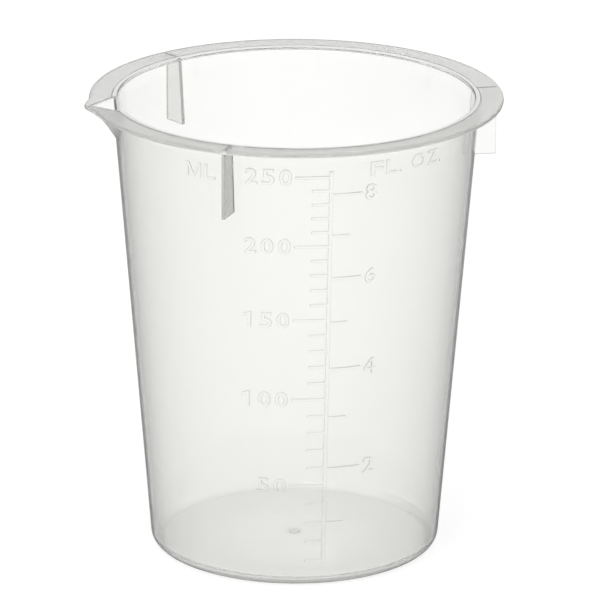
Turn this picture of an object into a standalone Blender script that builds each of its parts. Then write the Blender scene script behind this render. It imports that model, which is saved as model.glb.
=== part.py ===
# A disposable graduated beaker of the 250 mL class. The real one is a single thin plastic
# moulding, so each object here is one region of it, split from its neighbours by a hairline seam.
# Metres, +Z up. The origin is on the beaker's axis, on the surface that it stands on.
# The spout points along -X and the scale faces -Y.

import math

import bmesh
import bpy

# Wall and floor. Both wall radii are the outside face, one at the resting plane and one at the rim.
HEIGHT = 0.0911
BASE_RADIUS = 0.0282
MOUTH_RADIUS = 0.0357
WALL_THICKNESS = 0.00105
FLOOR_THICKNESS = 0.00115
OUTER_CORNER_RADIUS = 0.0024
INNER_CORNER_RADIUS = 0.0014
FOOT_WIDTH = 0.0010
SEAM = 0.0003

# The floor's middle is pushed up a little, so that the gate mark under it stays off the table.
PUSH_UP_RADIUS = 0.0145
PUSH_UP_RISE = 0.0004
PUSH_UP_STEP = 0.0015
GATE_RADIUS = 0.0008
GATE_HEIGHT = 0.0002

# Flange round the mouth.
FLANGE_WIDTH = 0.0045
FLANGE_THICKNESS = 0.0007
FLANGE_EDGE_RADIUS = 0.0002

# Pouring spout: a V trough whose keel climbs out of the wall, bends at a knee and ends in a tip.
SPOUT_TIP_OVERHANG = 0.0013
SPOUT_DEPTH = 0.0081
SPOUT_KNEE_REACH = 0.0030
SPOUT_KNEE_DROP = 0.0031
SPOUT_WALL = 0.0009
SPOUT_SHOULDER_MARGIN = 0.0017
LIP_HALF_WIDTH = 0.0049

# Stacking fins under the flange.
FIN_ANGLES = {"right": 0.0, "rear": 120.0, "front": 240.0}
FIN_HEIGHT = 0.0130
FIN_SETBACK = 0.0005
FIN_THICKNESS = 0.0008

# Raised scale. Distances round the wall are arc lengths from the middle plane, + to the right.
# The largest millilitre mark stands where the inside holds that volume at this size, and the
# other marks stand at their shares of the volume below it.
TOP_MARK_CLEARANCE = 0.0052
MARK_RELIEF = 0.0003
MARK_WIDTH = 0.0005
RULE_WIDTH = 0.0007
RULE_OFFSET = 0.0004
RULE_OVERRUN = 0.0012
TICK_ROOT = 0.0002
TICK_STEP_DOWN = 0.00003
LARGEST_MILLILITRES = 250
MILLILITRE_STEP = 10
MILLILITRE_NUMERAL_STEP = 50
MINOR_MILLILITRE_LENGTH = 0.0033
LARGEST_OUNCES = 8
OUNCE_NUMERAL_STEP = 2
MINOR_OUNCE_LENGTH = 0.0035
OUNCE_NUMERAL_OFFSET = 0.0079
OUNCE_NUMERAL_DRIFT = 0.0013
NUMERAL_GAP = 0.0006
DIGIT_HEIGHT = 0.0033
DIGIT_WIDTH = 0.0025
DIGIT_PITCH = 0.0033
ONE_WIDTH_SHARE = 0.7
LETTER_HEIGHT = 0.0030
LETTER_WIDTHS = {"M": 0.0035, "L": 0.0026, "F": 0.0028, "O": 0.0034, "Z": 0.0030, ".": 0.0006}
LETTER_GAP = 0.0005
WORD_GAP = 0.0023
NUMERAL_FIN_CLEARANCE = 0.0017
LABEL_FIN_CLEARANCE = 0.0031
LABEL_LIFT = 0.0014
OUNCE_LABEL_LEFT = 0.0081

# Outlines drawn here instead of taken from the font, in units of their own width and height.
FLAGGED_ONE = [(0.62, 0.0), (1.0, 0.0), (1.0, 1.0), (0.72, 1.0), (0.0, 0.84), (0.0, 0.68), (0.62, 0.78)]
HALF_M = [(0.5, 0.24), (0.2, 1.0), (0.0, 1.0), (0.0, 0.0), (0.145, 0.0), (0.145, 0.7), (0.42, 0.0)]
M_OUTLINE = HALF_M + [(1.0 - x, y) for x, y in reversed(HALF_M[1:])]
FOUR_RIGHT = [(0.68, 0.0), (0.88, 0.0), (0.88, 0.22), (1.0, 0.22), (1.0, 0.38), (0.88, 0.38), (0.88, 1.0)]
FOUR_LEFT = [(0.66, 1.0), (0.0, 0.38), (0.0, 0.22), (0.68, 0.22)]
FOUR_HOLE = [(0.68, 0.38), (0.68, 0.79), (0.24, 0.38)]
DRAWN_GLYPHS = {"1": [FLAGGED_ONE], "4": [FOUR_RIGHT + FOUR_LEFT, FOUR_HOLE], "M": [M_OUTLINE]}
STROKE_THICKENING = 0.018

MILLILITRES_PER_OUNCE = 29.5735

# Facets of the turned shapes and of their rounded edges.
TURN_STEPS = 96
ARC_STEPS = 5
EDGE_ARC_STEPS = 2
WRAP_STEPS = 4
GLYPH_ARC_STEPS = 3
MERGE = 0.000001
SHARP_ANGLE = math.radians(35)

TAPER = (MOUTH_RADIUS - BASE_RADIUS) / HEIGHT
FLANGE_RADIUS = MOUTH_RADIUS + FLANGE_WIDTH
FLANGE_UNDERSIDE = HEIGHT - FLANGE_THICKNESS
WALL_TOP = FLANGE_UNDERSIDE - SEAM
TOP_MARK = FLANGE_UNDERSIDE - TOP_MARK_CLEARANCE
SPOUT_AXIS_RADIUS = MOUTH_RADIUS - WALL_THICKNESS
SPOUT_TIP_RADIUS = FLANGE_RADIUS + SPOUT_TIP_OVERHANG
SPOUT_SHOULDER = SPOUT_TIP_RADIUS - SPOUT_AXIS_RADIUS + SPOUT_SHOULDER_MARGIN
SCALE_ANGLE = 270.0


def outer_radius(z):
    return BASE_RADIUS + TAPER * z


def inner_radius(z):
    return outer_radius(z) - WALL_THICKNESS


def fill_height(millilitres):
    """Height of the surface of a volume, as its share of the tapered inside below the top mark."""
    floor_cube = inner_radius(FLOOR_THICKNESS) ** 3
    top_cube = inner_radius(TOP_MARK) ** 3
    share = millilitres / LARGEST_MILLILITRES
    surface_radius = (floor_cube + share * (top_cube - floor_cube)) ** (1 / 3)
    return (surface_radius + WALL_THICKNESS - BASE_RADIUS) / TAPER


def clear_scene():
    for obj in list(bpy.data.objects):
        bpy.data.objects.remove(obj, do_unlink=True)


def new_collection(name):
    collection = bpy.data.collections.new(name)
    bpy.context.scene.collection.children.link(collection)
    return collection


def plastic(name, colour, roughness):
    material = bpy.data.materials.new(name)
    material.use_nodes = True
    shader = material.node_tree.nodes["Principled BSDF"]
    shader.inputs["Base Color"].default_value = (*colour, 1.0)
    shader.inputs["Roughness"].default_value = roughness
    shader.inputs["Metallic"].default_value = 0.0
    return material


def finish(obj, collection, material):
    """Gives an object its material and smooth shading, and puts it in its collection."""
    if material:
        obj.data.materials.append(material)
    if obj.type == "MESH":
        obj.data.shade_smooth()
        obj.data.set_sharp_from_angle(angle=SHARP_ANGLE)
    collection.objects.link(obj)
    return obj


def as_guide(obj):
    obj.hide_render = True
    obj.display_type = "WIRE"
    return obj


def turned(name, profile, collection, material=None, steps=TURN_STEPS, closed=True):
    """Turns a profile of (radius, height) points round Z."""
    mesh = bpy.data.meshes.new(name)
    count = len(profile)
    edges = [(index, (index + 1) % count) for index in range(count if closed else count - 1)]
    mesh.from_pydata([(radius, 0.0, z) for radius, z in profile], edges, [])
    obj = finish(bpy.data.objects.new(name, mesh), collection, material)
    screw = obj.modifiers.new("Turn", "SCREW")
    screw.angle = math.tau
    screw.steps = steps
    screw.render_steps = steps
    screw.use_merge_vertices = True
    screw.merge_threshold = MERGE
    screw.use_smooth_shade = True
    return obj


def cut(obj, cutter, operation="DIFFERENCE"):
    boolean = obj.modifiers.new(cutter.name, "BOOLEAN")
    boolean.operation = operation
    boolean.solver = "EXACT"
    boolean.object = cutter


def box(name, low, high, collection):
    mesh = bpy.data.meshes.new(name)
    bm = bmesh.new()
    bmesh.ops.create_cube(bm, size=1.0)
    for vert in bm.verts:
        vert.co = [low[axis] + (vert.co[axis] + 0.5) * (high[axis] - low[axis]) for axis in range(3)]
    bm.to_mesh(mesh)
    bm.free()
    return as_guide(finish(bpy.data.objects.new(name, mesh), collection, None))


def plate_mesh(name, outlines, thickness):
    """Flat outlines of (x, y) points, thickened evenly to both sides of their plane."""
    curve = bpy.data.curves.new(name, "CURVE")
    curve.dimensions = "2D"
    curve.fill_mode = "BOTH"
    curve.extrude = thickness / 2
    for outline in outlines:
        spline = curve.splines.new("POLY")
        spline.points.add(len(outline) - 1)
        for point, (x, y) in zip(spline.points, outline):
            point.co = (x, y, 0.0, 1.0)
        spline.use_cyclic_u = True
    return mesh_of_curve(curve, name)


def mesh_of_curve(curve, name):
    """The welded mesh of a curve or text, whose caps would otherwise be loose."""
    holder = bpy.data.objects.new(name, curve)
    bpy.context.scene.collection.objects.link(holder)
    bpy.context.view_layer.update()
    evaluated = holder.evaluated_get(bpy.context.evaluated_depsgraph_get())
    mesh = bpy.data.meshes.new_from_object(evaluated)
    mesh.name = name
    bpy.data.objects.remove(holder, do_unlink=True)
    bm = bmesh.new()
    bm.from_mesh(mesh)
    bmesh.ops.remove_doubles(bm, verts=bm.verts, dist=MERGE)
    bmesh.ops.recalc_face_normals(bm, faces=bm.faces)
    bm.to_mesh(mesh)
    bm.free()
    return mesh


def arc(centre, radius, start, end, steps):
    """Points on an arc of a profile, in degrees from the outward direction."""
    points = []
    for index in range(steps + 1):
        angle = math.radians(start + (end - start) * index / steps)
        points.append((centre[0] + radius * math.cos(angle), centre[1] + radius * math.sin(angle)))
    return points


def corner_centre(wall_radius, floor_height, radius):
    """Centre of the fillet that joins a floor to a tapered wall whose radius at Z 0 is given."""
    z = floor_height + radius
    slant = math.hypot(1.0, TAPER)
    return (wall_radius + TAPER * z - radius * slant, z)


def corner_arc(wall_radius, floor_height, radius):
    """That fillet, from the wall down to the floor."""
    wall_angle = -math.degrees(math.atan(TAPER))
    return arc(corner_centre(wall_radius, floor_height, radius), radius, wall_angle, -90.0, ARC_STEPS)


def foot_radius():
    """Inside edge of the wall's flat foot, where the floor disc begins."""
    outer = corner_centre(BASE_RADIUS, 0.0, OUTER_CORNER_RADIUS)[0]
    inner = corner_centre(BASE_RADIUS - WALL_THICKNESS, FLOOR_THICKNESS, INNER_CORNER_RADIUS)[0]
    return min(outer, inner) - FOOT_WIDTH


def make_side_wall(collection, cutters, material):
    outside = [(outer_radius(WALL_TOP), WALL_TOP)]
    outside += corner_arc(BASE_RADIUS, 0.0, OUTER_CORNER_RADIUS)
    foot = [(foot_radius(), 0.0), (foot_radius(), FLOOR_THICKNESS)]
    inside = corner_arc(BASE_RADIUS - WALL_THICKNESS, FLOOR_THICKNESS, INNER_CORNER_RADIUS)[::-1]
    inside += [(inner_radius(WALL_TOP), WALL_TOP)]
    wall = turned("side_wall", outside + foot + inside, collection, material)
    cut(wall, spout_wedge("spout_notch_cutter", offset_keel(-SEAM), cutters, SPOUT_DEPTH))
    return wall


def make_base_floor(collection, material):
    edge = foot_radius() - SEAM
    step = PUSH_UP_RADIUS + PUSH_UP_STEP
    profile = [
        (0.0, FLOOR_THICKNESS + PUSH_UP_RISE),
        (PUSH_UP_RADIUS, FLOOR_THICKNESS + PUSH_UP_RISE),
        (step, FLOOR_THICKNESS),
        (edge, FLOOR_THICKNESS),
        (edge, 0.0),
        (step, 0.0),
        (PUSH_UP_RADIUS, PUSH_UP_RISE),
        (GATE_RADIUS, PUSH_UP_RISE),
        (GATE_RADIUS, PUSH_UP_RISE - GATE_HEIGHT),
        (0.0, PUSH_UP_RISE - GATE_HEIGHT),
    ]
    return turned("base_floor", profile, collection, material, closed=False)


def make_rim_flange(collection, cutters, material):
    edge = FLANGE_RADIUS - FLANGE_EDGE_RADIUS
    upper = arc((edge, HEIGHT - FLANGE_EDGE_RADIUS), FLANGE_EDGE_RADIUS, 90.0, 0.0, EDGE_ARC_STEPS)
    lower = arc((edge, FLANGE_UNDERSIDE + FLANGE_EDGE_RADIUS), FLANGE_EDGE_RADIUS, 0.0, -90.0, EDGE_ARC_STEPS)
    bore = [(inner_radius(FLANGE_UNDERSIDE), FLANGE_UNDERSIDE), (inner_radius(HEIGHT), HEIGHT)]
    flange = turned("rim_flange", upper + lower + bore, collection, material)
    half_slot = SPOUT_SHOULDER + SEAM
    low = (-2 * FLANGE_RADIUS, -half_slot, FLANGE_UNDERSIDE - FLANGE_THICKNESS)
    high = (0.0, half_slot, HEIGHT + FLANGE_THICKNESS)
    cut(flange, box("spout_slot_cutter", low, high, cutters))
    return flange


def keel():
    """The trough's outer keel, from the bottom up, as (reach from the mouth's wall, height)."""
    tip_reach = SPOUT_TIP_RADIUS - SPOUT_AXIS_RADIUS
    return [
        (0.0, HEIGHT - SPOUT_DEPTH),
        (SPOUT_KNEE_REACH, HEIGHT - SPOUT_KNEE_DROP),
        (tip_reach, HEIGHT - FLANGE_THICKNESS / 2),
    ]


def offset_keel(wall):
    """The keel moved inwards by a wall thickness, measured square to the trough's two faces."""
    root_two = math.sqrt(2.0)
    low, knee, high = [(reach / root_two, z) for reach, z in keel()]
    lower_slope = (knee[1] - low[1]) / (knee[0] - low[0])
    upper_slope = (high[1] - knee[1]) / (high[0] - knee[0])
    lower_start = low[1] + wall * math.hypot(1.0, lower_slope)
    upper_start = knee[1] - upper_slope * knee[0] + wall * math.hypot(1.0, upper_slope)
    knee_x = (upper_start - lower_start) / (lower_slope - upper_slope)
    high_x = (HEIGHT - upper_start) / upper_slope
    points = [(0.0, lower_start), (knee_x, lower_start + lower_slope * knee_x), (high_x, HEIGHT)]
    return [(x * root_two, z) for x, z in points]


def spout_wedge(name, profile, collection, extra_height=0.0):
    """A four-sided spike, point down, with one edge facing the spout's tip."""
    low, knee, high = profile
    outline = [high, knee, low]
    if extra_height:
        outline.insert(0, (high[0], high[1] + extra_height))
    outline.insert(0, (0.0, outline[0][1]))
    wedge = turned(name, outline, collection, steps=4, closed=False)
    wedge.location = (-SPOUT_AXIS_RADIUS, 0.0, 0.0)
    return as_guide(wedge)


def lip_outline():
    """The flange's outline round the spout, from the shoulders out to the tip."""
    shoulder_angle = math.degrees(math.asin(SPOUT_SHOULDER / FLANGE_RADIUS))
    nose_angle = math.degrees(math.asin(LIP_HALF_WIDTH / FLANGE_RADIUS))
    half = arc((0.0, 0.0), FLANGE_RADIUS, 180.0 - shoulder_angle, 180.0 - nose_angle, ARC_STEPS)
    half.insert(0, (-BASE_RADIUS, SPOUT_SHOULDER))
    other_half = [(x, -y) for x, y in reversed(half)]
    return half + [(-SPOUT_TIP_RADIUS, 0.0)] + other_half


def make_pour_spout(collection, cutters, material):
    lip = bpy.data.objects.new("pour_spout", plate_mesh("pour_spout", [lip_outline()], FLANGE_THICKNESS))
    lip.location = (0.0, 0.0, HEIGHT - FLANGE_THICKNESS / 2)
    finish(lip, collection, material)
    cut(lip, spout_wedge("trough_outside", keel(), cutters), "UNION")
    cut(lip, spout_wedge("trough_channel_cutter", offset_keel(SPOUT_WALL), cutters, SPOUT_DEPTH))
    low = HEIGHT - 2 * SPOUT_DEPTH
    high = HEIGHT + SPOUT_DEPTH
    bore_profile = [(0.0, high), (inner_radius(high), high), (inner_radius(low), low), (0.0, low)]
    bore = as_guide(turned("mouth_bore_cutter", bore_profile, cutters, closed=False))
    cut(lip, bore)
    return lip


def make_fins(collection, material):
    top = WALL_TOP
    bottom = FLANGE_UNDERSIDE - FIN_HEIGHT
    outer = FLANGE_RADIUS - FIN_SETBACK
    outline = [
        (outer_radius(bottom) + SEAM, bottom),
        (outer, bottom),
        (outer, top),
        (outer_radius(top) + SEAM, top),
    ]
    mesh = plate_mesh("stacking_fin", [outline], FIN_THICKNESS)
    mesh.materials.append(material)
    for place, angle in FIN_ANGLES.items():
        fin = bpy.data.objects.new("stacking_fin_" + place, mesh)
        fin.rotation_euler = (math.pi / 2, 0.0, math.radians(angle))
        collection.objects.link(fin)


def wrapped(u, z, relief):
    """A point of the scale: u round the wall, z up, relief out from the wall's seam."""
    angle = u / outer_radius(z)
    radius = outer_radius(z) + SEAM + relief
    return (radius * math.sin(angle), -radius * math.cos(angle), z)


def add_ridge(bm, left, right, bottom, top, low, high, steps=1):
    """A raised bar laid on the wall, with enough cuts along it to follow the curve."""
    first = len(bm.verts)
    corners = bmesh.ops.create_cube(bm, size=1.0)["verts"]
    edges = {edge for vert in corners for edge in vert.link_edges}
    along = [edge for edge in edges if abs(edge.verts[0].co.x - edge.verts[1].co.x) > 0.5]
    if steps > 1:
        bmesh.ops.subdivide_edges(bm, edges=along, cuts=steps - 1)
    bm.verts.ensure_lookup_table()
    for vert in bm.verts[first:]:
        u = left + (vert.co.x + 0.5) * (right - left)
        z = bottom + (vert.co.y + 0.5) * (top - bottom)
        vert.co = wrapped(u, z, low + (vert.co.z + 0.5) * (high - low))


def glyph(character):
    """A letter or digit as a mesh one unit deep, in the font that comes with the program."""
    if character in DRAWN_GLYPHS:
        return plate_mesh("glyph", DRAWN_GLYPHS[character], 1.0)
    text = bpy.data.curves.new("glyph", "FONT")
    text.body = character
    text.resolution_u = GLYPH_ARC_STEPS
    text.offset = STROKE_THICKENING
    text.extrude = 0.5
    return mesh_of_curve(text, "glyph")


def span(mesh, axis):
    values = [vert.co[axis] for vert in mesh.vertices]
    return min(values), max(values)


def lay_glyph(name, character, left, bottom, width, height, collection, material):
    """Bends a glyph onto the wall so that it fills a box whose left edge is a place on the arc."""
    mesh = glyph(character)
    start, end = span(mesh, 0)
    low, high = span(mesh, 1)
    for vert in mesh.vertices:
        u = left + (vert.co.x - start) / (end - start) * width
        z = bottom + (vert.co.y - low) / (high - low) * height
        vert.co = wrapped(u, z, (vert.co.z + 0.5) * MARK_RELIEF)
    mesh.name = name
    return finish(bpy.data.objects.new(name, mesh), collection, material)


def make_number(number, unit, right, middle, collection, material):
    """Digits in equal cells, the last one ending at a place, centred on their mark's height."""
    digits = str(number)
    for index, digit in enumerate(digits):
        left = right - DIGIT_WIDTH - (len(digits) - 1 - index) * DIGIT_PITCH
        width = DIGIT_WIDTH * (ONE_WIDTH_SHARE if digit == "1" else 1.0)
        name = f"digit_{number}_{unit}_{index + 1}"
        lay_glyph(name, digit, left, middle - DIGIT_HEIGHT / 2, width, DIGIT_HEIGHT, collection, material)


def mark_object(name, bm, collection, material):
    mesh = bpy.data.meshes.new(name)
    bmesh.ops.recalc_face_normals(bm, faces=bm.faces)
    bm.to_mesh(mesh)
    bm.free()
    return finish(bpy.data.objects.new(name, mesh), collection, material)


def millilitre_marks():
    volumes = range(MILLILITRE_STEP, LARGEST_MILLILITRES + 1, MILLILITRE_STEP)
    return [(volume, fill_height(volume)) for volume in volumes]


def ounce_marks():
    return [(count, fill_height(count * MILLILITRES_PER_OUNCE)) for count in range(1, LARGEST_OUNCES + 1)]


def front_fin_arc():
    """Place of the front fin's middle on the scale's arc, at the top mark."""
    return math.radians(FIN_ANGLES["front"] - SCALE_ANGLE) * outer_radius(TOP_MARK)


def millilitre_numeral_right():
    """Right edge of the millilitre numerals, whose first digits stand clear of the front fin."""
    digits = len(str(LARGEST_MILLILITRES))
    left = front_fin_arc() + FIN_THICKNESS / 2 + NUMERAL_FIN_CLEARANCE
    return left + (digits - 1) * DIGIT_PITCH + DIGIT_WIDTH


def make_scale(collection, cutters, material):
    """The upright rule, with the ticks of both units joined to it."""
    millilitres = millilitre_marks()
    major_end = millilitre_numeral_right() + NUMERAL_GAP
    half_mark = MARK_WIDTH / 2
    bm = bmesh.new()
    left = RULE_OFFSET - RULE_WIDTH / 2
    right = left + RULE_WIDTH
    top = TOP_MARK + RULE_OVERRUN
    add_ridge(bm, left, right, millilitres[0][1] - MARK_WIDTH, top, 0.0, MARK_RELIEF)
    rule = mark_object("graduation_scale", bm, collection, material)

    bm = bmesh.new()
    low = TICK_STEP_DOWN
    high = MARK_RELIEF - TICK_STEP_DOWN
    for volume, z in millilitres:
        major = volume % MILLILITRE_NUMERAL_STEP == 0
        end = major_end if major else left - MINOR_MILLILITRE_LENGTH
        add_ridge(bm, end, left + TICK_ROOT, z - half_mark, z + half_mark, low, high, WRAP_STEPS)
    for ounces, z in ounce_marks():
        end = right + MINOR_OUNCE_LENGTH
        if ounces % OUNCE_NUMERAL_STEP == 0:
            end = ounce_numeral_middle(z) - DIGIT_WIDTH / 2 - NUMERAL_GAP
        add_ridge(bm, right - TICK_ROOT, end, z - half_mark, z + half_mark, low, high, WRAP_STEPS)
    ticks = as_guide(mark_object("ticks_to_join", bm, cutters, None))
    cut(rule, ticks, "UNION")
    return rule


def ounce_numeral_middle(z):
    """The numerals lean away from the rule a little towards the base."""
    return RULE_OFFSET + OUNCE_NUMERAL_OFFSET + OUNCE_NUMERAL_DRIFT * (1.0 - z / HEIGHT)


def make_numerals(collection, material):
    for volume, z in millilitre_marks():
        if volume % MILLILITRE_NUMERAL_STEP == 0:
            make_number(volume, "ml", millilitre_numeral_right(), z, collection, material)
    for ounces, z in ounce_marks():
        if ounces % OUNCE_NUMERAL_STEP == 0:
            right = ounce_numeral_middle(z) + DIGIT_WIDTH / 2
            make_number(ounces, "oz", right, z, collection, material)


def make_label(words, left, bottom, collection, material):
    """A unit's name, with the letters and then the words spaced along the wall."""
    for word in words:
        for character in word:
            dot = character == "."
            name = f"label_{word.strip('.')}_{'dot' if dot else character}"
            width = LETTER_WIDTHS[character]
            height = width if dot else LETTER_HEIGHT
            lay_glyph(name, character, left, bottom, width, height, collection, material)
            left += width + LETTER_GAP
        left += WORD_GAP - LETTER_GAP


def make_labels(collection, material):
    """ML beyond the front fin, level with the largest numeral, and FL. OZ. above its own."""
    width = LETTER_WIDTHS["M"] + LETTER_GAP + LETTER_WIDTHS["L"]
    left = front_fin_arc() - FIN_THICKNESS / 2 - LABEL_FIN_CLEARANCE - width
    make_label(["ML"], left, TOP_MARK - DIGIT_HEIGHT / 2, collection, material)
    bottom = ounce_marks()[-1][1] + DIGIT_HEIGHT / 2 + LABEL_LIFT
    make_label(["FL.", "OZ."], OUNCE_LABEL_LEFT, bottom, collection, material)


def main():
    clear_scene()
    beaker = new_collection("disposable_beaker")
    cutters = new_collection("cutters")
    body = plastic("milky_polypropylene", (0.86, 0.88, 0.85), 0.25)
    markings = plastic("raised_markings", (0.74, 0.76, 0.73), 0.3)

    make_side_wall(beaker, cutters, body)
    make_base_floor(beaker, body)
    make_rim_flange(beaker, cutters, body)
    make_pour_spout(beaker, cutters, body)
    make_fins(beaker, body)

    make_scale(beaker, cutters, markings)
    make_numerals(beaker, markings)
    make_labels(beaker, markings)


main()
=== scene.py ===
# A disposable graduated beaker, dressed as one seamless moulding of clear to milky polypropylene.
# Metres, +Z up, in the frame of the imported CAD: the spout points along -X and the scale faces -Y.

import math

import bmesh
import bpy
from mathutils import Matrix, Vector


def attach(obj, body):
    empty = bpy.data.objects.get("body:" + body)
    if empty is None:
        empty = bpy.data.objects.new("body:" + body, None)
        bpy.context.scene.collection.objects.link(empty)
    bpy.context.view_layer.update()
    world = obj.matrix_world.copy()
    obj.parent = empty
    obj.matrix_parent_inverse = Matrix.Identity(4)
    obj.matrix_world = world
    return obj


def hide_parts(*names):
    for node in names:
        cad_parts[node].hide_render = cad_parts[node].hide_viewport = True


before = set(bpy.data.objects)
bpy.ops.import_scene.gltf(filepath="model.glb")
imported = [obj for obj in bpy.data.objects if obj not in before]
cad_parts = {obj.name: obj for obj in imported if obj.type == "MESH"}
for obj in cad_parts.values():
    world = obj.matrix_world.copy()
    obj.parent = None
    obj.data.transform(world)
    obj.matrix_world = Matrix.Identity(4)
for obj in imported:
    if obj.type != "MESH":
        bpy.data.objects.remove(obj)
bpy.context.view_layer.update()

MM = 0.001

# The beaker's sizes, as in the CAD, in millimetres.
HEIGHT = 91.1
BASE_RADIUS = 28.2
MOUTH_RADIUS = 35.7
WALL = 1.05
FLOOR = 1.15
OUTER_CORNER = 2.4
INNER_CORNER = 1.4
FLANGE_RADIUS = 40.2
FLANGE = 0.7
FLANGE_EDGE = 0.25
FLANGE_FILLET = 0.5
RIM_LINE = 0.5
LIP_EDGE = 0.3
LIP_LAND = 1.0
LIP_STEP = 0.1
NEAR_FLANGE = 2.5
PUSH_UP_START = 8.0
PUSH_UP_END = 20.0
PUSH_UP_RISE = 0.4
GATE_RADIUS = 0.8
GATE_HEIGHT = 0.2
GATE_DRAFT = 0.1
GATE_FOOT = 0.2
GATE_SCUFF = 2.2
FIRST_FLOOR_RING = 3
BLEND = 1.0
TAPER = (MOUTH_RADIUS - BASE_RADIUS) / HEIGHT

# Spout.
SPOUT_AXIS = MOUTH_RADIUS - WALL
SPOUT_TIP = 41.5
SPOUT_DEPTH = 8.1
SPOUT_ROOT_REACH = 0.15
SPOUT_KNEE_REACH = 3.3
SPOUT_KNEE_DROP = 3.35
SPOUT_WALL = 0.8
NOSE_HALF_WIDTH = 4.9
NOSE_SHOULDER_RADIUS = 39.85
NOSE_BLUNTNESS = 1.5
TROUGH_ROOT = 0.35
KEEL_ROUNDING = 0.35
CHANNEL_ROUNDING = 0.25
LARGEST_ROUNDING_SHARE = 0.8
SMALLEST_SPOUT_REACH = 0.02
KNEE_EASE = 0.9
CHANNEL_LIFT = 0.15
CHANNEL_OVERSHOOT = 2.0
SPOUT_LEVELS = 12

# Fins: right, rear and front.
FIN_ANGLES = (0.0, 120.6, 239.4)
FIN_HEIGHT = 13.0
FIN_REACH = FLANGE_RADIUS - 0.5
FIN_THICKNESS = 0.8
FIN_EDGE = 0.14
FIN_DRAFT = 0.04
FIN_EDGE_SEARCH = 1.0

# Relief of the scale's marks. They stand lower towards the sides of the wall.
RELIEF = 0.3
MARK_EDGE = 0.14
MARK_GROWTH = 0.08
WORD_RELIEF = 0.2
MARK_SINK = 0.03
RELIEF_FADE = 0.25
FADE_MIDDLE = -6.0
FADE_START = 11.0
FADE_RUN = 14.0

# How finely the shapes are cut up.
TURN_STEPS = 384
OUTER_CORNER_STEPS = 12
INNER_CORNER_STEPS = 10
WALL_ROWS = 14
NEAR_FLANGE_ROWS = 3
FILLET_STEPS = 4
EDGE_STEPS = 3
LIP_STEPS = 6
TIP_STEPS = 6
SHARP_ANGLE = 32


def clamp(value):
    return min(max(value, 0.0), 1.0)


def outer_radius(z):
    return BASE_RADIUS + TAPER * z


def inner_radius(z):
    return outer_radius(z) - WALL


def arc(centre, radius, start, end, steps):
    points = []
    for index in range(steps + 1):
        angle = math.radians(start + (end - start) * index / steps)
        points.append((centre[0] + radius * math.cos(angle), centre[1] + radius * math.sin(angle)))
    return points


def rows(start, end, count):
    """Points from start up to but not including end."""
    points = []
    for index in range(count):
        share = index / count
        points.append(tuple(a + (b - a) * share for a, b in zip(start, end)))
    return points


def corner_arc(wall_radius, floor_height, radius, steps):
    z = floor_height + radius
    centre = (wall_radius + TAPER * z - radius * math.hypot(1.0, TAPER), z)
    return arc(centre, radius, -math.degrees(math.atan(TAPER)), -90.0, steps)


def new_object(name, bm):
    mesh = bpy.data.meshes.new(name)
    bm.normal_update()
    bm.to_mesh(mesh)
    bm.free()
    obj = bpy.data.objects.new(name, mesh)
    bpy.context.scene.collection.objects.link(obj)
    return obj


def flange_edge_radius(angle):
    """Distance from the axis to the flange's edge, which runs out to the nose at the spout."""
    away = math.radians(180.0) - abs(angle)
    shoulder = math.atan2(NOSE_HALF_WIDTH, NOSE_SHOULDER_RADIUS)
    if away >= shoulder:
        return FLANGE_RADIUS
    share = SPOUT_TIP * math.sin(away) / NOSE_HALF_WIDTH
    reach = SPOUT_TIP - (SPOUT_TIP - NOSE_SHOULDER_RADIUS) * share**NOSE_BLUNTNESS
    return max(reach / math.cos(away), FLANGE_RADIUS)


def push_up(radius):
    """How far the middle of the base is raised, which eases off towards the wall."""
    share = clamp((radius - PUSH_UP_START) / (PUSH_UP_END - PUSH_UP_START))
    return PUSH_UP_RISE * (0.5 + 0.5 * math.cos(math.pi * share))


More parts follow.
